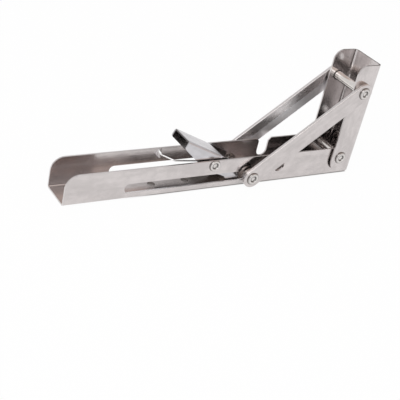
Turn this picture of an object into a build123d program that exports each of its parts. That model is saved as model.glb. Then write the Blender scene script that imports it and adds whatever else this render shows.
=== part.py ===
# Folding shelf bracket in stainless sheet, open, with a release lever.
#
# Millimetres, +Z up. The shelf face of the arm lies on Z = 0 and the wall face
# of the wall plate on X = 0, so the origin is the corner where shelf and wall
# meet, in the middle of the width. The arm points to -X. Near is -Y, far is +Y.
import os
from math import atan2, cos, degrees, hypot, radians, sin

from build123d import *

# Sheet
sheet = 1.5
bend_inner = 1.0
bend_outer = bend_inner + sheet

# Arm channel
arm_length = 300.0
arm_width = 31.6
arm_height = 28.2
nose_radius = 12.0
arm_heel = 3.0
arm_hole = 7.0
arm_hole_x = (-210.0, -176.0)

# Wall plate channel, which straddles the arm
wall_depth = 25.7
wall_bend_inner = 2.5
wall_bottom = 4.3
wall_top = 114.8
wall_top_radius = 10.0
wall_foot_radius = 12.0
wall_hole = 7.0
wall_hole_z = (43.0, 100.0)

# Pivots: hinge between arm and wall plate, brace pivot above it, pin in the slot
hinge_back = 15.8
hinge_up = 19.2
lift = 70.0
pin_back = 119.2
slot_z = 10.2
slot_length = 130.6

# Brace bars
bar_width = 18.0
bar_thickness = 3.0
bar_edge = 0.5

# Rivets, sleeves and washers
shank = 6.0
lever_shank = 5.0
sleeve = 8.5
hinge_head = 11.2
brace_head = 10.8
slide_head = 11.0
lever_head = 10.0
head_height = 1.5
head_edge = 0.6
cup = 6.4
cup_lip = 0.25
cup_slope = 0.6
cup_depth = 1.0
cup_middle = 0.5
hinge_washer = 16.0
hinge_washer_height = 1.45
brace_washer = 18.0
brace_washer_height = 1.5
slide_washer = 15.0
slide_washer_height = 2.0
lever_spacer = 6.8

# Clearances: round a shank, in the slot, and sideways between moving faces
fit = 0.1
slot_fit = 0.1
side_fit = 0.1

# Notch that takes the brace sleeve when the bracket is folded
notch_width = 11.2
notch_bottom = 10.1
notch_flare = 2.5

# Release lever. Its plate is laid out from its pivot: reaches to both ends, height of
# the top left corner, depth of the foot, then steps from corner to corner
lever_gap = 1.55
lever_back = 158.8
lever_down = 4.6
lever_slope = 25.2
lever_left = 29.1
lever_rise = 24.6
lever_tip = (3.15, 7.1)
lever_web = 41.7
lever_right = 30.3
lever_fall = 19.1
foot_length = 12.0
foot_heel = (2.7, 4.4)
foot_knee = (7.8, 6.9)
lever_belly = (2.9, 8.2)
lever_throat = (14.9, 1.8)
lever_corner = 1.8
web_leg = 3.0

# Spring and the tab that holds its long leg
wire = 1.3
wire_bend = 3.0
coil_radius = 4.3
coil_turns = 4
coil_pitch = 1.5
coil_start = 0.2
short_leg = 18.5
short_leg_rise = 10.0
long_leg = 30.3
long_leg_fall = 4.2
tab_x = -201.3
tab_low = 21.4
tab_high = 26.9
tab_depth = 5.0

hinge = (-hinge_back, hinge_up)
top_pivot = (-hinge_back, hinge_up + lift)
pin = (-pin_back, slot_z)
lever_pivot = (-lever_back, arm_height - lever_down)

# Each layer sideways stands on the one inside it
arm_outer = arm_width / 2
arm_inner = arm_outer - sheet
wall_inner = arm_outer + hinge_washer_height + side_fit
wall_outer = wall_inner + sheet
bar_inner = wall_outer + brace_washer_height + side_fit
bar_outer = bar_inner + bar_thickness
lever_outer = arm_inner - lever_gap
lever_inner = lever_outer - sheet


def slab(sketch, y0, y1):
    """A side-view sketch (X, Z) extruded from y0 to y1."""
    return extrude(Plane.XZ.offset(-y0) * sketch, amount=y1 - y0, dir=(0, 1, 0))


def rod(centre, diameter, y0, y1):
    """A round bar along Y."""
    return slab(Pos(*centre) * Circle(diameter / 2), y0, y1)


def ring(centre, outer, inner, y0, y1):
    """A washer or sleeve along Y."""
    return slab(Pos(*centre) * (Circle(outer / 2) - Circle(inner / 2)), y0, y1)


def outline(points):
    """A closed straight-sided side-view outline."""
    return make_face(Polyline(*points, close=True))


def corner(sketch, point, radius):
    """Round the one corner of a sketch that lies nearest to a point."""
    x, z = point
    nearest = min(sketch.vertices(), key=lambda v: hypot(v.X - x, v.Y - z))
    return fillet(nearest, radius)


def both(shape):
    """A shape on the far side together with its mirror image on the near side."""
    return shape + mirror(shape, about=Plane.XZ)


def channel(width, depth, length, inside):
    """A U section along X, web down on Z = 0, from X = 0 to -X, bent to an inside radius."""
    outer = Pos(0, depth / 2) * Rectangle(width, depth)
    low = [v for v in outer.vertices() if v.Y < depth / 2]
    outer = fillet(low, inside + sheet)
    inner = Pos(0, sheet + depth / 2) * Rectangle(width - 2 * sheet, depth)
    low = [v for v in inner.vertices() if v.Y < depth / 2]
    inner = fillet(low, inside)
    return extrude(Plane.YZ * (outer - inner), amount=-length)


def rivet_head(centre, diameter, face, side):
    """A flat head with a cupped middle, standing on a face towards +Y or -Y."""
    floor = head_height - cup_depth
    rim = (diameter / 2, head_height)
    lip = (cup / 2, head_height)
    root = (cup / 2 - cup_slope, floor)
    profile = outline([(0, 0), (diameter / 2, 0), rim, lip, root, (0, floor + cup_middle)])
    profile = corner(profile, rim, head_edge)
    profile = corner(profile, lip, cup_lip)
    profile = corner(profile, root, cup_lip)
    head = revolve(Plane.XZ * profile, Axis.Z)
    tilt = Rot(-90, 0, 0) if side > 0 else Rot(90, 0, 0)
    return Pos(centre[0], side * face, centre[1]) * tilt * head


def rivet(centre, diameter, head, face):
    """A rivet right across the bracket with a formed head on each side."""
    body = rod(centre, diameter, -face, face)
    return body + rivet_head(centre, head, face, 1) + rivet_head(centre, head, face, -1)


def flange_outline():
    """Side view of the arm's flange: round nose, notch, and an end round the hinge."""
    x, z = hinge
    swing = hinge_back - sheet - 1.0
    rise = arm_height - hinge_up
    arc_top = (x + (swing**2 - rise**2) ** 0.5, arm_height)
    middle = radians(degrees(atan2(rise, arc_top[0] - x)) / 2)
    arc_middle = (x + swing * cos(middle), z + swing * sin(middle))
    sides = Polyline(
        arc_top, (-arm_length, arm_height), (-arm_length, 0), (x + swing, 0), (x + swing, z)
    )
    end = ThreePointArc((x + swing, z), arc_middle, arc_top)
    flange = make_face(Curve() + [sides, end])
    flange = corner(flange, (x + swing, 0), arm_heel)
    return corner(flange, (-arm_length, arm_height), nose_radius)


def notch_outline():
    """The notch in the flange's top edge, straight under the folded brace pivot."""
    x = -hinge_back - lift
    half = notch_width / 2
    notch = outline(
        [
            (x - half - notch_flare, arm_height + 1),
            (x - half - notch_flare, arm_height),
            (x - half, arm_height - notch_flare),
            (x - half, notch_bottom + half),
            (x + half, notch_bottom + half),
            (x + half, arm_height - notch_flare),
            (x + half + notch_flare, arm_height),
            (x + half + notch_flare, arm_height + 1),
        ]
    )
    return notch + Pos(x, notch_bottom + half) * Circle(half)


def slot_outline():
    """The guide slot, whose wall end stops the pin when the bracket is open."""
    radius = sleeve / 2 + slot_fit
    right = -pin_back + radius
    middle = right - slot_length / 2
    return Pos(middle, slot_z) * SlotOverall(slot_length, 2 * radius)


def spring_tab():
    """The triangular tab lanced from the far flange and bent square inwards."""
    y = arm_inner + sheet / 2
    points = [(y, tab_low), (arm_inner - tab_depth, tab_low), (y, tab_high)]
    face = make_face(Polyline(*points, close=True))
    return extrude(Plane.YZ.offset(tab_x) * face, amount=sheet)


def tab_window():
    """The window that the tab leaves in the far flange."""
    left = tab_x + sheet
    window = outline([(left, tab_low), (left + tab_depth, tab_low), (left, tab_high)])
    return slab(window, arm_inner - 1, arm_outer + 1)


def arm_channel():
    """Arm: a channel with its web on the shelf face."""
    wide = arm_outer + 1
    web_end = outline([(-1, 0), (0, 0), (0, bend_outer), (-hinge_back, bend_outer), (-hinge_back, 0)])
    side = flange_outline() + web_end
    arm = channel(arm_width, arm_height, arm_length, bend_inner) & slab(side, -wide, wide)
    cut = notch_outline() + slot_outline()
    for centre, diameter in ((hinge, shank), (lever_pivot, lever_shank)):
        cut += Pos(*centre) * Circle(diameter / 2 + fit)
    arm -= slab(cut, -wide, wide)
    for x in arm_hole_x:
        arm -= Pos(x, 0, 0) * Cylinder(arm_hole / 2, 4 * sheet)
    return arm - tab_window() + spring_tab()


def wall_plate():
    """Wall plate: a wider channel with its web on the wall face."""
    wide = wall_outer + 1
    length = wall_top - wall_bottom
    side = Pos(-wall_depth / 2, wall_bottom + length / 2) * Rectangle(wall_depth, length)
    side = corner(side, (-wall_depth, wall_top), wall_top_radius)
    side = corner(side, (-wall_depth, wall_bottom), wall_foot_radius)
    for centre in (hinge, top_pivot):
        side -= Pos(*centre) * Circle(shank / 2 + fit)
    blank = channel(2 * wall_outer, wall_depth, length, wall_bend_inner)
    blank = Rot(0, 0, 180) * (Rot(0, 90, 0) * blank)
    plate = Pos(0, 0, wall_bottom) * blank & slab(side, -wide, wide)
    for z in wall_hole_z:
        plate -= Pos(0, 0, z) * Rot(0, 90, 0) * Cylinder(wall_hole / 2, 4 * sheet)
    return plate


def brace_bar(side):
    """One flat bar of the brace, with a round end about each pivot."""
    run = top_pivot[0] - pin[0]
    rise = top_pivot[1] - pin[1]
    length = hypot(run, rise)
    middle = ((pin[0] + top_pivot[0]) / 2, (pin[1] + top_pivot[1]) / 2)
    bar = SlotOverall(length + bar_width, bar_width)
    bar = Pos(*middle) * Rot(0, 0, degrees(atan2(rise, run))) * bar
    y0, y1 = sorted((side * bar_inner, side * bar_outer))
    solid = slab(bar, y0, y1)
    solid = fillet(solid.edges(), bar_edge)
    for centre in (pin, top_pivot):
        solid -= rod(centre, shank + 2 * fit, y0 - 1, y1 + 1)
    return solid


def slide_rivet(side):
    """The riveted end of the slide pin in one bar: its head and what fills the bar."""
    y0, y1 = sorted((side * bar_inner, side * bar_outer))
    return rod(pin, shank + 2 * fit, y0, y1) + rivet_head(pin, slide_head, bar_outer, side)


def release_lever():
    """Release lever: a sloping web with a plate down each side and a foot each."""
    slope = radians(lever_slope)
    along = (cos(slope), -sin(slope))
    left = lever_pivot[0] - lever_left
    right = lever_pivot[0] + lever_right
    top = lever_pivot[1] + lever_rise
    low = lever_pivot[1] - lever_fall
    foot = right - foot_length
    front = (right, top - (right - left) * sin(slope) / cos(slope))
    tip = (left - lever_tip[0], top - lever_tip[1])
    plate = outline(
        [
            (left, top),
            front,
            (right, low),
            (foot, low),
            (foot - foot_heel[0], low + foot_heel[1]),
            (foot - foot_knee[0], low + foot_knee[1]),
            (lever_pivot[0] - lever_belly[0], lever_pivot[1] - lever_belly[1]),
            (lever_pivot[0] - lever_throat[0], lever_pivot[1] + lever_throat[1]),
            tip,
        ]
    )
    for point in (tip, (right, low), front, (foot, low)):
        plate = corner(plate, point, lever_corner)
    plate -= Pos(*lever_pivot) * Circle(lever_shank / 2 + fit)
    plates = both(slab(plate, lever_inner, lever_outer))
    web_end = Pos(left + lever_web * along[0], 0, top + lever_web * along[1])
    web_end *= Rot(0, lever_slope, 0)
    folded = channel(2 * lever_outer, bend_outer + web_leg, lever_web, bend_inner)
    folded = web_end * (Rot(180, 0, 0) * folded)
    strip = Box(lever_web, 2 * lever_outer + 2, 2 * bend_outer)
    strip = web_end * (Pos(-lever_web / 2, 0, 0) * strip)
    return plates - strip + (folded & slab(plate, -lever_outer, lever_outer))


def lever_spring():
    """Torsion spring: coil round the lever's rivet, long leg to the tab, short leg up."""
    x, z = lever_pivot
    rise = lever_slope + short_leg_rise
    turns = coil_turns - 0.5 + (long_leg_fall - rise) / 360
    coil = Helix(coil_pitch, coil_pitch * turns, coil_radius)
    coil = Pos(x, coil_start, z) * Rot(0, 90 + long_leg_fall, 0) * Rot(90, 0, 0) * coil
    bend = coil @ 0 - (coil % 0) * long_leg
    hook = (tab_x + sheet + wire, arm_inner + sheet / 2, tab_low + wire / 2 + fit)
    long_run = FilletPolyline(hook, bend, coil @ 0, radius=wire_bend)
    short_run = Line(coil @ 1, coil @ 1 + (coil % 1) * short_leg)
    path = Wire([*long_run.edges(), coil.edge(), short_run.edge()])
    return sweep(Plane(path @ 0, z_dir=path % 0) * Circle(wire / 2), path=path)


def pieces():
    """Every sub-part by name."""
    parts = {
        "arm_channel": arm_channel(),
        "hinge_rivet": rivet(hinge, shank, hinge_head, wall_outer + side_fit),
        "hinge_sleeve": ring(hinge, sleeve, shank + 2 * fit, -arm_inner, arm_inner),
        "lever_rivet": rivet(lever_pivot, lever_shank, lever_head, arm_outer),
        "lever_spring": lever_spring(),
        "wall_plate": wall_plate(),
        "brace_rivet": rivet(top_pivot, shank, brace_head, bar_outer + side_fit),
        "brace_sleeve": ring(top_pivot, sleeve, shank + 2 * fit, -wall_inner, wall_inner),
        "release_lever": release_lever(),
    }
    bore = shank + 2 * fit
    stub_start = lever_outer + 3 * side_fit
    stub_end = bar_inner - 2 * side_fit
    washer_middle = (arm_outer + bar_inner) / 2
    for name, side in (("near", -1), ("far", 1)):

        def span(a, b):
            return sorted((side * a, side * b))

        washer = span(arm_outer, wall_inner - side_fit)
        parts["hinge_washer_" + name] = ring(hinge, hinge_washer, bore, *washer)
        washer = span(wall_outer, bar_inner - side_fit)
        parts["brace_washer_" + name] = ring(top_pivot, brace_washer, bore, *washer)
        spacer = span(lever_outer + side_fit, arm_inner)
        lever_bore = lever_shank + 2 * fit
        parts["lever_spacer_" + name] = ring(lever_pivot, lever_spacer, lever_bore, *spacer)
        parts["brace_bar_" + name] = brace_bar(side)
        parts["slide_rivet_" + name] = slide_rivet(side)
        parts["slide_pin_" + name] = rod(pin, shank, *span(stub_start, stub_end))
        low = washer_middle - slide_washer_height / 2
        parts["slide_sleeve_" + name] = ring(pin, sleeve, shank, *span(stub_start, low))
        washer = span(low, low + slide_washer_height)
        parts["slide_washer_" + name] = ring(pin, slide_washer, shank, *washer)
    return parts


os.makedirs("parts", exist_ok=True)
for name, shape in pieces().items():
    export_step(shape, "parts/" + name + ".step")
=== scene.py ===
# %% [markdown]
# The real thing is a folding shelf bracket of brushed stainless sheet, lying open on
# its shelf face. Its metal pieces come as exact solids and could be modelled again as
# meshes, but that would only copy them. So this lesson is about what makes plain steel
# look real: the grain of the sheet, the cupped rivets, the spring wire and the light.

# %% Load the solids
import math

import bpy
from mathutils import Matrix, Vector


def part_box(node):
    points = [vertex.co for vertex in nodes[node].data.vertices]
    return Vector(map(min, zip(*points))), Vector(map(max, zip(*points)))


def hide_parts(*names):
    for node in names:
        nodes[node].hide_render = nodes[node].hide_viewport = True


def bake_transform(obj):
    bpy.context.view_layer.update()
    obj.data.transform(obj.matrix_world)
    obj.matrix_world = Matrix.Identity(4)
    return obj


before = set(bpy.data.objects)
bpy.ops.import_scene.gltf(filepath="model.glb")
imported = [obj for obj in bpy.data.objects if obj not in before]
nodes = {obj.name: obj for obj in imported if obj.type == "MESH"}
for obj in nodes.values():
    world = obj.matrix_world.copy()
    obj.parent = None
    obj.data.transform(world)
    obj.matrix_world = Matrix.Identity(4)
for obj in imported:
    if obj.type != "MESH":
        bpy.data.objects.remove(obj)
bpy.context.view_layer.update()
scene = bpy.context.scene

# %% [markdown]
# The bracket turns about four pivots, and on the real one each is a rivet. Their places
# could be typed in, but the solids already hold them: the middle of a rivet's box is
# its pivot, so nothing here goes stale when a size of the bracket changes.

# %% Pivots, read from the rivets


def box_of(node):
    """The low and the high corner of a node's box."""
    return tuple(Vector(corner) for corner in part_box(node))


def middle(node):
    """The middle of a node's box."""
    low, high = box_of(node)
    return (low + high) / 2


hinge = middle("hinge_rivet")
brace_top = middle("brace_rivet")
brace_foot = middle("slide_rivet_near")
lever_pivot = middle("lever_rivet")
brace_tilt = math.atan2(brace_top.z - brace_foot.z, brace_top.x - brace_foot.x)
print("brace tilt:", round(math.degrees(brace_tilt), 2))

# %% [markdown]
# The camera stands above the near left corner and is rolled a little, so the long arm
# climbs across the picture. A camera that tracks a target can't be rolled in the same
# step, so its three axes are worked out as vectors and set as one matrix. Place, angles
# and lens were solved from the outlines of the object.

# %% Camera
look_azimuth = math.radians(37.48)
look_down = math.radians(30.09)
roll = math.radians(13.51)
eye = Vector((-0.58904, -0.56769, 0.39185))
focal_length = 81.35

level = math.cos(look_down)
ahead = Vector(
    (level * math.sin(look_azimuth), level * math.cos(look_azimuth), -math.sin(look_down))
)
flat_right = Vector((math.cos(look_azimuth), -math.sin(look_azimuth), 0))
flat_up = flat_right.cross(ahead)
right = flat_right * math.cos(roll) + flat_up * math.sin(roll)
up = right.cross(ahead)

lens = bpy.data.cameras.new("camera")
lens.sensor_width = 36
lens.lens = focal_length
camera = bpy.data.objects.new("camera", lens)
scene.collection.objects.link(camera)
axes = Matrix((right, up, -ahead)).transposed()
camera.matrix_world = Matrix.Translation(eye) @ axes.to_4x4()
scene.camera = camera
print("camera:", [round(v, 3) for v in camera.location])

# %% [markdown]
# Steel that varies over its surface takes dozens of nodes. They could be placed one by
# one, but then nobody can read the sum that they make. Here one function adds any node:
# its settings first, then the values or links of its sockets.

# %% Add a node


def add_node(tree, kind, settings=None, values=None, output=0):
    """One shader node, given back as a term that is wired to one of its outputs."""
    node = tree.nodes.new(kind)
    for key, value in (settings or {}).items():
        setattr(node, key, value)
    for key, value in (values or {}).items():
        if isinstance(value, Term):
            tree.links.new(value.socket, node.inputs[key])
        else:
            node.inputs[key].default_value = value
    return Term(tree, node.outputs[output])


print("add_node is ready")

# %% [markdown]
# A mask is a sum, and it reads best as one. Calls inside calls would do the same but
# hide it. This small class wraps a socket, and every operator on it adds the Math node
# that it stands for.

# %% Shader sums


class Term:
    """A socket inside a shader, usable in a Python sum."""

    def __init__(self, tree, socket):
        self.tree = tree
        self.socket = socket

    def math(self, operation, *values):
        settings = {"operation": operation}
        return add_node(self.tree, "ShaderNodeMath", settings, dict(enumerate(values)))

    def __add__(self, other):
        return self.math("ADD", self, other)

    def __mul__(self, other):
        return self.math("MULTIPLY", self, other)

    def __sub__(self, other):
        return self.math("SUBTRACT", self, other)

    def __rsub__(self, other):
        return self.math("SUBTRACT", other, self)

    def __pow__(self, other):
        return self.math("POWER", self, other)

    __radd__ = __add__
    __rmul__ = __mul__

    def most(self, other):
        return self.math("MAXIMUM", self, other)

    def clamp(self):
        return self.math("MINIMUM", self.most(0.0), 1.0)

    def step(self, low, high):
        """0 below low, 1 above high, smooth between."""
        settings = {"interpolation_type": "SMOOTHSTEP"}
        values = {"Value": self, "From Min": low, "From Max": high}
        return add_node(self.tree, "ShaderNodeMapRange", settings, values, "Result")

    def between(self, low, high, soft):
        """1 from low to high, fading to 0 within soft outside them."""
        return self.step(low - soft, low) * (1 - self.step(high, high + soft))


print("shader sums ready")

# %% [markdown]
# A Math node turns a colour grey, so colours go through a Mix node instead. The same
# function serves the steel, the room and the floor.

# %% Mix two colours


def rgba(colour):
    """A colour as a node takes it."""
    return colour if isinstance(colour, Term) else (*colour, 1)


def mix(amount, low, high):
    """A colour between two colours."""
    values = {0: amount, 6: rgba(low), 7: rgba(high)}
    return add_node(amount.tree, "ShaderNodeMix", {"data_type": "RGBA"}, values, 2)


pure_white = rgba((1, 1, 1))
print("white for a node:", pure_white)

# %% [markdown]
# Marks on steel have a place: lines follow the rolling direction and the painted shade
# sits round a pivot. Generated or window coordinates would slide, so every metal here
# starts from object coordinates, which stay on a piece when its joint moves. A Mapping
# node turns them, so that X runs along the grain of the sheet.

# %% Coordinates of a metal


class Metal:
    """A new metal material and its coordinates."""

    def __init__(self, name, turn=(0, 0, 0), centre=(0, 0, 0)):
        self.material = bpy.data.materials.new(name)
        self.material.use_nodes = True
        self.tree = self.material.node_tree
        self.tree.nodes.clear()
        self.whole = add_node(self.tree, "ShaderNodeTexCoord", output="Object")
        values = {"Vector": self.whole, "Location": centre, "Rotation": turn}
        settings = {"vector_type": "TEXTURE"}
        self.place = add_node(self.tree, "ShaderNodeMapping", settings, values)

    def axis(self, output):
        """One coordinate of the bracket itself."""
        values = {"Vector": self.whole}
        return add_node(self.tree, "ShaderNodeSeparateXYZ", {}, values, output)

    def grain_axis(self, output):
        """One coordinate after the turn."""
        values = {"Vector": self.place}
        return add_node(self.tree, "ShaderNodeSeparateXYZ", {}, values, output)

    def reach(self, pivot):
        """The distance from a pivot, seen from the side."""
        x = self.axis("X") - pivot.x
        z = self.axis("Z") - pivot.z
        return (x * x + z * z) ** 0.5


print("coordinates ready")

# %% [markdown]
# No two places on worn steel are alike. A picture of steel would show its seams and
# repeats. Noise has none, and its features get a size in metres along each axis, so a
# long thin size gives lines and an even one gives clouds.

# %% Noise of a given size


def noise(metal, size, detail=2.0, rough=0.5, offset=0.0):
    """Noise with a feature size for each axis; the offset moves it to another part."""
    scale = tuple(1 / s for s in size)
    shift = (offset, offset * 2, offset * 3)
    values = {"Vector": metal.place, "Scale": scale, "Location": shift}
    scaled = add_node(metal.tree, "ShaderNodeMapping", {}, values)
    values = {"Vector": scaled, "Scale": 1.0, "Detail": detail, "Roughness": rough}
    settings = {"noise_dimensions": "3D"}
    return add_node(metal.tree, "ShaderNodeTexNoise", settings, values, "Fac")


print("noise ready")

# %% [markdown]
# Bare steel has no coat and no colour of its own beyond its reflection, so one
# Principled shader at full Metallic does it. Only colour, roughness and bump vary.

# %% Surface of a metal


def surface(metal, colour, roughness, height, depth):
    """Close the material with its colour, roughness and bump."""
    values = {"Height": height, "Distance": depth, "Strength": 1.0}
    bump = add_node(metal.tree, "ShaderNodeBump", {}, values, "Normal")
    values = {"Base Color": colour, "Roughness": roughness, "Metallic": 1.0, "Normal": bump}
    shader = add_node(metal.tree, "ShaderNodeBsdfPrincipled", {}, values)
    out = metal.tree.nodes.new("ShaderNodeOutputMaterial")
    metal.tree.links.new(shader.socket, out.inputs["Surface"])
    return metal.material


print("surface ready")

# %% [markdown]
# Stainless sheet is brushed on a belt, which leaves lines along the rolling direction:
# most are a tenth of a millimetre wide, some are broader, and a few make whole bands.
# One noise can't hold all three widths, so each gets its own.

# %% Lines of the belt
fine_size = (0.030, 0.00012, 0.00012)
line_size = (0.060, 0.0006, 0.0006)
band_size = (0.120, 0.0035, 0.0035)


def belt_lines(metal):
    """Fine lines, broad lines and bands along the grain."""
    fine = noise(metal, fine_size, rough=0.6)
    line = noise(metal, line_size, rough=0.6, offset=5.0)
    band = noise(metal, band_size, detail=1.0, offset=9.0)
    return fine, line, band


print("belt lines, mm:", [1000 * size[1] for size in (fine_size, line_size, band_size)])

# %% [markdown]
# Hands leave soft cloudy patches on the sheet, a centimetre or two across. Smaller
# spots and the belt's own bands break them up, so that they don't look like fog.

# %% Patches from handling
cloud_size = (0.020, 0.011, 0.011)
spot_size = (0.006, 0.004, 0.004)


def patches(metal, band):
    """The clouds by themselves, and the patches that they make with spots and bands."""
    cloud = noise(metal, cloud_size, detail=3.0, rough=0.55, offset=2.0)
    spot = noise(metal, spot_size, offset=13.0)
    return cloud, (0.55 * cloud + 0.25 * spot + 0.20 * band).step(0.36, 0.66)


print("clouds, mm:", [1000 * size for size in cloud_size])

# %% [markdown]
# A rivet's head throws a thin contact shade on the sheet round it, painted here as a dark
# ring that the clouds break up. A ring about the pivot does that, and the distance from
# the middle picks the face that it lies on. A ring mesh would stand proud and could be
# seen from the side. A mask can't.

# %% Painted shade round a rivet's head
ring_inside = 0.0006
ring_outside = 0.00025
ring_soft = 0.0007
face_soft = 0.000001


def head_shade(metal, cloud, pivot, radius, inner, outer):
    """A broken ring of painted shade on faces that lie from inner to outer off the middle."""
    ring = metal.reach(pivot).between(radius - ring_inside, radius + ring_outside, ring_soft)
    face = (metal.axis("Y") ** 2.0).between(inner**2, outer**2, face_soft)
    return ring * face * (0.55 + 0.6 * (cloud - 0.3)).clamp()


print("dirt ring, mm:", round(1000 * (ring_inside + ring_outside), 2))

# %% [markdown]
# Now the sheet itself: patches steer the colour, lines steer roughness and bump. Cut
# edges, painted highlights and painted shade differ from piece to piece, so each piece
# hands in its own masks.

# %% Brushed sheet
sheet_tone = (0.73, 0.69, 0.685)
# Painted shade, laid round rivet heads, inside the channels, the lever and the near bar.
painted_shade = (0.085, 0.070, 0.060)
cut_steel = (0.90, 0.88, 0.87)
# Painted highlight and reflection on the spring tab, the slot's edge and the far bar.
sheen_steel = (0.98, 0.98, 1.0)
dulling = 0.82
belt_rough = 0.19
line_depth = 0.000015


def brushed(name, turn, tone, heads=(), cut=None, sheen=None, dark=None):
    """Stainless sheet with its grain along the turned X.

    Each of the heads is a pivot, the radius of its ring of painted shade, and how far off
    the middle the ring begins and ends. The three masks are made from the metal: the
    sheared edges, a painted highlight and reflection, and painted shade.
    """
    metal = Metal(name, turn)
    fine, line, band = belt_lines(metal)
    cloud, patch = patches(metal, band)
    dull = tuple(dulling * c for c in tone)
    colour = mix((0.80 * patch + 0.35 * line - 0.10).clamp(), dull, tone)
    roughness = belt_rough + 0.12 * (fine - 0.5) + 0.12 * (line - 0.5) + 0.10 * (0.5 - patch)
    # Painted contact shade round each rivet head.
    for head in heads:
        shade_and_stain = head_shade(metal, cloud, *head)
        colour = mix(shade_and_stain, colour, painted_shade)
        roughness = roughness + 0.2 * shade_and_stain
    if cut:
        edge = cut(metal)
        colour = mix(0.25 * edge, colour, cut_steel)
        roughness = roughness + 0.10 * edge
    # Painted highlight and reflection where this mask is set.
    if sheen:
        bright = sheen(metal)
        colour = mix(bright, colour, sheen_steel)
        roughness = roughness + 0.28 * bright
    # Painted shade where this mask is set.
    if dark:
        colour = mix(dark(metal), colour, painted_shade)
    return surface(metal, colour, roughness, 0.5 * fine + 0.5 * line, line_depth)


print("dull steel:", [round(dulling * c, 3) for c in sheet_tone])

# %% [markdown]
# Where the sheet was sheared the steel never met the belt, so the edges are plainer and
# brighter. A solid's mesh is loose triangles whose faces aren't named, so the edges are
# found by their place: within a hair of the box of the solid, or of a bar's width.

# %% Sheared edges
hair = 0.00012
arm_low, arm_high = box_of("arm_channel")
wall_low = box_of("wall_plate")[0]
bar_middle = brace_foot.z * math.cos(brace_tilt) - brace_foot.x * math.sin(brace_tilt)
bar_edge = (0.00860, 0.00875)


def arm_cut(metal):
    """The top edges of the flanges, and the free end of the arm."""
    top = metal.axis("Z").step(arm_high.z - 2 * hair, arm_high.z - hair)
    end = 1 - metal.axis("X").step(arm_low.x + hair, arm_low.x + 2 * hair)
    return top.most(end)


def wall_cut(metal):
    """The front edges of the wall plate's flanges."""
    return 1 - metal.axis("X").step(wall_low.x + hair, wall_low.x + 2 * hair)


def bar_cut(metal):
    """The two long edges of a bar."""
    off = (metal.grain_axis("Z") - bar_middle) ** 2.0
    return off.step(bar_edge[0] ** 2, bar_edge[1] ** 2)


print("bar middle:", round(bar_middle, 5))

# %% [markdown]
# Two small places on the arm get a painted highlight: the tab that holds the spring,
# which is bent across the grain, and the lower edge of the slot. Both face up into the
# light. They could be pieces of their own, but on the real arm they are the same sheet.

# %% Painted highlights of the arm
crisp = 0.0001
tab_x = (-0.2014, -0.1997)
tab_y = (0.0090, 0.0143)
tab_z = (0.0213, 0.0272)
slot_low = box_of("slide_sleeve_near")[0].z - 0.0001
flange_inner = arm_high.y - 0.0014
flange_outer = arm_high.y - 0.0001


def arm_sheen(metal):
    """A painted highlight on the spring tab and on the lower edge of the slot."""
    tab = metal.axis("X").between(*tab_x, crisp)
    tab = tab * metal.axis("Y").between(*tab_y, crisp)
    tab = tab * metal.axis("Z").between(*tab_z, crisp)
    edge = (metal.axis("Y") ** 2.0).between(flange_inner**2, flange_outer**2, face_soft)
    edge = edge * metal.axis("Z").between(slot_low - 2 * hair, slot_low + hair, hair)
    return tab.most(edge)


print("slot's lower edge, mm:", round(1000 * slot_low, 2))

# %% [markdown]
# Painted shade darkens the inside of the hinge, the web under the lever's coil and the
# root of the arm, where little light gets in. It lies on inner faces only, so each mask
# is a place along the arm times the height or the width of one face.

# %% Painted shade in the channels
hinge_reach = (0.018, 0.042)
coil_x = (-0.166, -0.128)
root_x = (-0.078, -0.020)
web_half = 0.0125
web_top = (0.0013, 0.0017)
under_skin = (0.0010, 0.0013)
arm_inner = 0.0147
wall_inner = 0.0178


def hinge_shade(metal, half_width):
    """Painted shade round the hinge, on faces nearer to the middle than half_width."""
    inside = metal.axis("Y").between(-half_width, half_width, crisp)
    return 0.45 * inside * (1 - metal.reach(hinge).step(*hinge_reach))


def arm_shade(metal):
    """Painted shade on the web under the coil and at the root, and round the hinge."""
    under_coil = metal.axis("X").between(*coil_x, 0.016)
    root = metal.axis("X").between(*root_x, 0.010)
    web = metal.axis("Y").between(-web_half, web_half, 0.001)
    web = web * metal.axis("Z").between(*web_top, crisp)
    flanges = hinge_shade(metal, arm_inner) * metal.axis("Z").step(*under_skin)
    return ((0.85 * under_coil + 0.4 * root) * web).most(flanges)


def wall_shade(metal):
    """Painted shade on the inner faces of the wall plate, round the hinge."""
    back = metal.axis("X").step(-under_skin[1], -under_skin[0])
    return hinge_shade(metal, wall_inner) * (1 - back)


print("shading reaches from the hinge, mm:", 1000 * hinge_reach[1])

# %% [markdown]
# The arm and the wall plate are bent from the same sheet. The grain runs along the arm
# and up the wall plate, so only the turn differs. The rivets that bear on them get their
# rings of painted shade here.

# %% Sheet of the arm and the wall plate
arm_sheet = brushed(
    "arm_sheet",
    (0, 0, 0),
    sheet_tone,
    heads=[(lever_pivot, 0.0050, 0.0152, 0.0200)],
    cut=arm_cut,
    sheen=arm_sheen,
    dark=arm_shade,
)
wall_sheet = brushed(
    "wall_sheet",
    (0, math.radians(90), 0),
    sheet_tone,
    heads=[(hinge, 0.0056, 0.0183, 0.0200), (brace_top, 0.0045, 0.0001, 0.0178)],
    cut=wall_cut,
    dark=wall_shade,
)
print("sheets:", arm_sheet.name, wall_sheet.name)

# %% [markdown]
# The bars slope, so their grain is turned by the tilt of the brace. The inner face of
# the far bar gets a painted reflection, stronger along its lower half, and that of the
# near bar gets painted shade. Both bars share one material, because the masks tell the
# two faces apart.

# %% Bars of the brace
inner_face = (0.0203, 0.0206)


def near_bar_shade(metal):
    """Painted shade on the inner face of the near bar."""
    return 0.8 * metal.axis("Y").between(-inner_face[1], -inner_face[0], crisp)


def bar_sheen(metal):
    """A painted reflection on the inner face of the far bar, stronger in its lower half."""
    upper = metal.grain_axis("Z").step(bar_middle - 0.0002, bar_middle + 0.0004)
    return metal.axis("Y").between(*inner_face, crisp) * (0.85 - 0.55 * upper)


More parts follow.
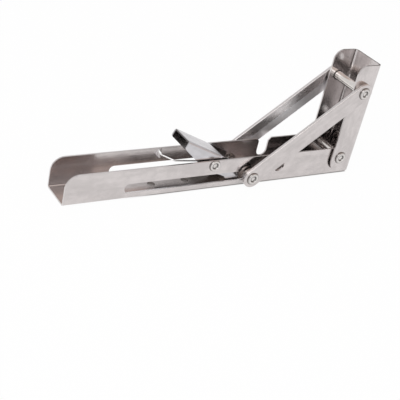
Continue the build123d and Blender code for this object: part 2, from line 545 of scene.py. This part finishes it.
brace_sheet = brushed(
    "brace_sheet",
    (0, -brace_tilt, 0),
    sheet_tone,
    heads=[(brace_foot, 0.0055, 0.0230, 0.0300), (brace_top, 0.0054, 0.0230, 0.0300)],
    cut=bar_cut,
    sheen=bar_sheen,
    dark=near_bar_shade,
)
print("bars:", brace_sheet.name)

# %% [markdown]
# The lever is a small channel that stands at a slope, clean outside and dark inside.
# The height of its outer face is measured on its mesh, and what lies below it between
# the side plates is the inside.

# %% Release lever
lever_tone = (0.68, 0.67, 0.695)
lever_slope = math.radians(25.2)
lever_inner = box_of("release_lever")[1].y - 0.0014
inside_shade = 0.74
web_height = max(
    point.co.x * math.sin(lever_slope) + point.co.z * math.cos(lever_slope)
    for point in nodes["release_lever"].data.vertices
    if abs(point.co.y) < 0.0105
)


def lever_shade(metal):
    """Painted shade on the faces between the side plates, under the web."""
    across = metal.axis("Y").between(-lever_inner, lever_inner, crisp)
    above = metal.grain_axis("Z").step(web_height - 0.0006, web_height - 0.0003)
    return inside_shade * across * (1 - above)


lever_sheet = brushed("lever_sheet", (0, lever_slope, 0), lever_tone, dark=lever_shade)
print("web height, mm:", round(1000 * web_height, 2))

# %% [markdown]
# Rivets, sleeves and washers are turned or struck, so their marks are rings about their
# own pivot. Noise over the distance from the pivot gives such rings, where noise over
# the place would give spots. The cup and the rim of a rivet's head and the ends of a
# sleeve get painted shade.

# %% Turned steel
ring_scale = 4500.0
ring_depth = 0.00002
cup_edge = (0.0020, 0.0029)
head_edge = (0.0044, 0.0050)
end_shade = (0.0012, 0.0007)


def turned(name, pivot, tone, rough, cup=False, half=0.0):
    """Round pieces about a pivot; half is half the length of a sleeve, if it is one."""
    metal = Metal(name, (0, 0, 0), tuple(pivot))
    radius = metal.reach(pivot)
    y = metal.grain_axis("Y")
    along = add_node(metal.tree, "ShaderNodeCombineXYZ", {}, {"X": radius, "Y": y})
    values = {"Vector": along, "Scale": ring_scale, "Detail": 2.0, "Roughness": 0.5}
    settings = {"noise_dimensions": "3D"}
    rings = add_node(metal.tree, "ShaderNodeTexNoise", settings, values, "Fac")
    stain = noise(metal, (0.003, 0.003, 0.003), offset=4.0)
    shade_and_stain = 0.30 * (stain - 0.35)
    # Painted shade in the cup and on the rim of a rivet's head.
    if cup:
        shade_and_stain = shade_and_stain + 0.90 * radius.between(*cup_edge, 0.0004)
        shade_and_stain = shade_and_stain + 0.40 * radius.step(*head_edge)
    # Painted contact shade at the ends of a sleeve, where it meets the flanges.
    if half:
        fade_start, full_shade = (half - end for end in end_shade)
        shade_and_stain = shade_and_stain + 0.95 * (y * y).step(fade_start**2, full_shade**2)
    colour = mix(shade_and_stain.clamp(), tone, tuple(0.30 * c for c in tone))
    roughness = rough + 0.10 * (rings - 0.5) + 0.12 * (stain - 0.5)
    return surface(metal, colour, roughness, rings, ring_depth)


print("rings for each millimetre:", ring_scale / 1000)

# %% [markdown]
# The rings have to be centred, so each pivot gets its own three materials: rivets,
# sleeves or spacers, and washers. Washers, spacers and short sleeves get a dark tone,
# painted shade of the narrow gaps that they sit in. The two long sleeves stay bright
# between their ends.

# %% Rivets, sleeves and washers
rivet_tone = (0.74, 0.715, 0.70)
sleeve_tone = (0.86, 0.83, 0.80)
# The washers' dark tone is painted shade.
washer_shade_tone = (0.40, 0.365, 0.345)
rivet_rough, sleeve_rough, washer_rough = 0.22, 0.14, 0.30
pivots = {"hinge": hinge, "brace": brace_top, "slide": brace_foot, "lever": lever_pivot}
sleeve_halves = {name: box_of(name + "_sleeve")[1].y for name in ("hinge", "brace")}
turned_steel = {}
for name, pivot in pivots.items():
    rivet, sleeve, washer = (name + part for part in ("_rivet", "_turned", "_washer"))
    half = sleeve_halves.get(name, 0.0)
    tone = sleeve_tone if half else washer_shade_tone
    turned_steel[rivet] = turned(rivet, pivot, rivet_tone, rivet_rough, cup=True)
    turned_steel[sleeve] = turned(sleeve, pivot, tone, sleeve_rough, half=half)
    turned_steel[washer] = turned(washer, pivot, washer_shade_tone, washer_rough)
print("turned materials:", len(turned_steel))

# %% [markdown]
# The spring is drawn wire, the brightest metal of the bracket. It is rougher than it
# looks: a wire this thin shows the whole room at once, so its roughness keeps single
# bright points from flickering along it.

# %% Drawn wire
wire_dull = (0.93, 0.93, 0.93)
wire_bright = (1.0, 1.0, 1.0)
wire_rough = 0.34
die_marks = 0.00001


def drawn_wire():
    """Bright wire with faint marks of the die."""
    metal = Metal("spring_wire")
    draw = noise(metal, (0.004, 0.004, 0.004), detail=3.0)
    colour = mix(draw.step(0.3, 0.7), wire_dull, wire_bright)
    return surface(metal, colour, wire_rough + 0.10 * draw, draw, die_marks)


wire_steel = drawn_wire()
print("wire:", wire_steel.name)

# %% [markdown]
# Each solid gets the finish of the stock that it is made from. The names of the pieces
# tell which, so no long list has to be kept.

# %% Dress the solids
sheets = {
    "arm_channel": arm_sheet,
    "wall_plate": wall_sheet,
    "brace_bar_near": brace_sheet,
    "brace_bar_far": brace_sheet,
    "release_lever": lever_sheet,
    "lever_spring": wire_steel,
}


def stock(node):
    """The material of one solid."""
    if node in sheets:
        return sheets[node]
    pivot = node.split("_")[0]
    if "rivet" in node or "pin" in node:
        return turned_steel[pivot + "_rivet"]
    return turned_steel[pivot + ("_washer" if "washer" in node else "_turned")]


for node in nodes:
    mesh = nodes[node].data
    mesh.materials.clear()
    mesh.materials.append(stock(node))
print("dressed:", len(nodes))

# %% [markdown]
# The spring is one wire. Its long leg runs from the tab along the arm, it makes three
# and a half turns round the lever's rivet, and its short leg goes up under the lever.
# A Screw modifier could make the turns but not the legs, so the whole line is worked
# out as points, the turns first.

# %% Coil of the spring
wire = 0.0013
coil_radius = 0.0043
coil_pitch = 0.0015
coil_turns = 3.4139
coil_lead = math.radians(94.2)
coil_start = Vector((lever_pivot.x, 0.0002, lever_pivot.z))


def coil_point(turn):
    """A point of the coil, turn counted in whole turns."""
    angle = coil_lead - 2 * math.pi * turn
    x = coil_radius * math.cos(angle)
    z = -coil_radius * math.sin(angle)
    return coil_start + Vector((x, -coil_pitch * turn, z))


def coil_way(turn):
    """The direction of the wire at a point of the coil."""
    return (coil_point(turn + 0.001) - coil_point(turn - 0.001)).normalized()


print("coil ends, mm:", [[round(1000 * v, 1) for v in coil_point(t)] for t in (0, coil_turns)])

# %% [markdown]
# The long leg leaves the coil straight and bends at a knee toward the tab. Real wire
# can't be bent sharp, so the knee becomes an arc. Its points turn evenly from one leg
# to the other about the arc's centre.

# %% Knee of the spring
wire_bend = 0.003
long_leg = 0.0303
hook = Vector((-0.1985, 0.01505, 0.02215))


def rounded(start, corner, end, radius, steps=8):
    """An arc that rounds a corner of the path."""
    one = (start - corner).normalized()
    two = (end - corner).normalized()
    half_angle = one.angle(two) / 2
    back = radius / math.tan(half_angle)
    centre = corner + (one + two).normalized() * radius / math.sin(half_angle)
    first = corner + one * back - centre
    last = corner + two * back - centre
    sweep = first.angle(last)
    arc = []
    for step in range(steps + 1):
        part = sweep * step / steps
        aside = first * math.sin(sweep - part) + last * math.sin(part)
        arc.append(centre + aside / math.sin(sweep))
    return arc


knee = coil_point(0) - coil_way(0) * long_leg
print("knee, mm:", [round(1000 * v, 1) for v in knee])

# %% [markdown]
# The whole path is one list of points, from the hook in the tab to the end of the short
# leg. The straight stretches need no points between their ends, the turns need many.

# %% Path of the spring
short_leg = 0.0185
coil_steps = 100
path = [hook]
path += rounded(hook, knee, coil_point(0), wire_bend)
path += [coil_point(coil_turns * step / coil_steps) for step in range(coil_steps + 1)]
path.append(path[-1] + coil_way(coil_turns) * short_leg)
print("path points:", len(path))

# %% [markdown]
# A wire is one round section all along a path, which is what Curve to Mesh makes. The
# tree takes the path, the radius of the wire, how many sides it has and its steel, so
# it serves for any other wire too.

# %% Tree that sweeps a wire


def sweep_tree():
    """A tree that sweeps a round wire along the edges of a mesh."""
    tree = bpy.data.node_groups.new("wire_along_path", "GeometryNodeTree")
    sockets = (
        ("Path", "INPUT", "NodeSocketGeometry"),
        ("Wire Radius", "INPUT", "NodeSocketFloat"),
        ("Sides", "INPUT", "NodeSocketInt"),
        ("Steel", "INPUT", "NodeSocketMaterial"),
        ("Wire", "OUTPUT", "NodeSocketGeometry"),
    )
    for name, side, kind in sockets:
        tree.interface.new_socket(name, in_out=side, socket_type=kind)
    given = tree.nodes.new("NodeGroupInput")
    line = tree.nodes.new("GeometryNodeMeshToCurve")
    ring = tree.nodes.new("GeometryNodeCurvePrimitiveCircle")
    swept = tree.nodes.new("GeometryNodeCurveToMesh")
    smooth = tree.nodes.new("GeometryNodeSetShadeSmooth")
    real = tree.nodes.new("GeometryNodeRealizeInstances")
    steel = tree.nodes.new("GeometryNodeSetMaterial")
    result = tree.nodes.new("NodeGroupOutput")
    swept.inputs["Fill Caps"].default_value = True
    for source, target in (
        (given.outputs["Path"], line.inputs["Mesh"]),
        (given.outputs["Wire Radius"], ring.inputs["Radius"]),
        (given.outputs["Sides"], ring.inputs["Resolution"]),
        (line.outputs["Curve"], swept.inputs["Curve"]),
        (ring.outputs["Curve"], swept.inputs["Profile Curve"]),
        (swept.outputs["Mesh"], smooth.inputs["Geometry"]),
        (smooth.outputs["Geometry"], real.inputs["Geometry"]),
        (real.outputs["Geometry"], steel.inputs["Geometry"]),
        (given.outputs["Steel"], steel.inputs["Material"]),
        (steel.outputs["Geometry"], result.inputs["Wire"]),
    ):
        tree.links.new(source, target)
    return tree


wire_tree = sweep_tree()
print("nodes in the tree:", len(wire_tree.nodes))

# %% [markdown]
# The modifier's inputs are set by the identifier of each socket before the object is
# looked at. Its result is then kept as a plain mesh and the modifier goes, so that the
# finished piece is an ordinary mesh.

# %% Grow a mesh along a path


def grown(name, points, tree, values):
    """A plain mesh object that a tree grows from a path."""
    mesh = bpy.data.meshes.new(name + "_path")
    mesh.from_pydata(points, [(i, i + 1) for i in range(len(points) - 1)], [])
    thing = bpy.data.objects.new(name, mesh)
    modifier = thing.modifiers.new(name, "NODES")
    modifier.node_group = tree
    for item in tree.interface.items_tree:
        if item.name in values:
            modifier[item.identifier] = values[item.name]
    scene.collection.objects.link(thing)
    seen = thing.evaluated_get(bpy.context.evaluated_depsgraph_get())
    solid = bpy.data.meshes.new_from_object(seen)
    thing.modifiers.clear()
    thing.data = solid
    return thing


wire_values = {"Wire Radius": wire / 2, "Sides": 14, "Steel": wire_steel}
spring = grown("spring", path, wire_tree, wire_values)
print("spring faces:", len(spring.data.polygons), "materials:", len(spring.data.materials))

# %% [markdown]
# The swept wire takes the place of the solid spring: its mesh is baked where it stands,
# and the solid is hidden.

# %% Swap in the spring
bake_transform(spring)
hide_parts("lever_spring")
print("spring:", spring.name, "replaces lever_spring")

# %% [markdown]
# Metal shows its room more than its own colour. A plain grey world leaves it flat, and
# a picture of a studio isn't needed: the room is pale all round, as a light tent is,
# and lobes about a direction put the darker parts in.

# %% Directions in the room
world = bpy.data.worlds.new("tent")
scene.world = world
world.use_nodes = True
room = world.node_tree
room.nodes.clear()
toward = add_node(room, "ShaderNodeTexCoord", output="Generated")


def lobe(direction, inner, outer):
    """1 near a direction and 0 away from it; inner and outer are angles in degrees."""
    values = {0: toward, 1: tuple(Vector(direction).normalized())}
    dot = add_node(
        room, "ShaderNodeVectorMath", {"operation": "DOT_PRODUCT"}, values, "Value"
    )
    return dot.step(math.cos(math.radians(outer)), math.cos(math.radians(inner)))


print("world:", world.name)

# %% [markdown]
# A brown-grey gap high on the near right warms the faces that look that way, and a
# dark corner on the far right gives the inner faces their depth. The camera itself
# sees plain white, by way of Is Camera Ray, so the light on the steel stays plain.

# %% Room
tent = (0.74, 0.73, 0.73)
gap = (0.80, 0.69, 0.63)
corner = (0.20, 0.185, 0.175)
gap_way = (0.50, -0.73, 0.47)
corner_way = (0.66, 0.60, 0.45)
light = mix(lobe(gap_way, 20, 50), tent, gap)
light = mix(lobe(corner_way, 8, 15), light, corner)
lit = add_node(room, "ShaderNodeBackground", {}, {"Color": light, "Strength": 1.0})
white = add_node(room, "ShaderNodeBackground", {}, {"Color": pure_white, "Strength": 1.0})
is_camera = add_node(room, "ShaderNodeLightPath", output="Is Camera Ray")
both = add_node(room, "ShaderNodeMixShader", {}, {0: is_camera, 1: lit, 2: white})
room_out = room.nodes.new("ShaderNodeOutputWorld")
room.links.new(both.socket, room_out.inputs["Surface"])
print("nodes in the room:", len(room.nodes))

# %% [markdown]
# One soft lamp above and to the left gives the edges their light. A large square makes
# a soft shadow, where a sun or a point would make a hard one.

# %% Lamp
lamp_data = bpy.data.lights.new("key", "AREA")
lamp_data.size = 1.1
lamp_data.energy = 7.0
lamp = bpy.data.objects.new("key", lamp_data)
scene.collection.objects.link(lamp)
lamp.location = (-0.9, -0.5, 1.1)
aim = Vector((-0.12, 0, 0.03)) - lamp.location
lamp.rotation_euler = aim.to_track_quat("-Z", "Y").to_euler()
print("lamp, watts:", lamp_data.energy)

# %% [markdown]
# The bracket lies on a sheet of white paper that goes on past the picture, so one big
# square is enough for the floor. It stands a fifth of a millimetre below the bracket,
# or the two faces would flicker through each other.

# %% Floor
floor_reach = 4.0
floor_mesh = bpy.data.meshes.new("floor")
corners = [(-1, -1), (1, -1), (1, 1), (-1, 1)]
floor_points = [(floor_reach * x, floor_reach * y, 0) for x, y in corners]
floor_mesh.from_pydata(floor_points, [], [(0, 1, 2, 3)])
floor = bpy.data.objects.new("floor", floor_mesh)
floor.location.z = -0.0002
scene.collection.objects.link(floor)
print("floor, metres:", 2 * floor_reach)

# %% [markdown]
# The screw holes in the arm's web look dark, because little light gets under the arm.
# A soft lamp and a white floor would leave them pale, so the paper itself is dark
# there. This mask of the place under the arm is 1 from the first hole to the hinge.

# %% Shade under the arm
matt_white = (0.85, 0.85, 0.85)
matt_dark = (0.30, 0.28, 0.27)
shade_start = (-0.250, -0.206)
shade_soft = 0.002
shade_half = arm_high.y - shade_soft
paper = bpy.data.materials.new("paper")
paper.use_nodes = True
tree = paper.node_tree
tree.nodes.clear()
spot = add_node(tree, "ShaderNodeTexCoord", output="Object")
spot_x = add_node(tree, "ShaderNodeSeparateXYZ", {}, {"Vector": spot}, "X")
spot_y = add_node(tree, "ShaderNodeSeparateXYZ", {}, {"Vector": spot}, "Y")
under = spot_x.step(*shade_start) * (1 - spot_x.step(arm_high.x, arm_high.x + shade_soft))
under = under * spot_y.between(-shade_half, shade_half, shade_soft)
print("shade half width, mm:", round(1000 * shade_half, 1))

# %% [markdown]
# To the camera and in the metal the paper is white, and it keeps only a trace of the
# shadow, as in a cut-out picture. A matt paper alone would come out grey, so it is
# mixed with a plain white glow by the kind of ray that meets it.

# %% Paper
seen_white = 0.97
shown_white = 0.60
matt_tone = mix(under, matt_white, matt_dark)
matt = add_node(tree, "ShaderNodeBsdfDiffuse", {}, {"Color": matt_tone})
glow = add_node(tree, "ShaderNodeEmission", {}, {"Color": pure_white, "Strength": 1.0})
seen = add_node(tree, "ShaderNodeLightPath", output="Is Camera Ray")
shown = add_node(tree, "ShaderNodeLightPath", output="Is Glossy Ray")
white_part = (seen_white * seen).most(shown_white * shown) * (1 - under)
cover = add_node(tree, "ShaderNodeMixShader", {}, {0: white_part, 1: matt, 2: glow})
paper_out = tree.nodes.new("ShaderNodeOutputMaterial")
tree.links.new(cover.socket, paper_out.inputs["Surface"])
floor_mesh.materials.append(paper)
print("nodes in the paper:", len(tree.nodes))

# %% [markdown]
# Standard shows a colour as it is written, where other views bend it. The last cell sets
# it.

# %% Finish
scene.view_settings.view_transform = "Standard"
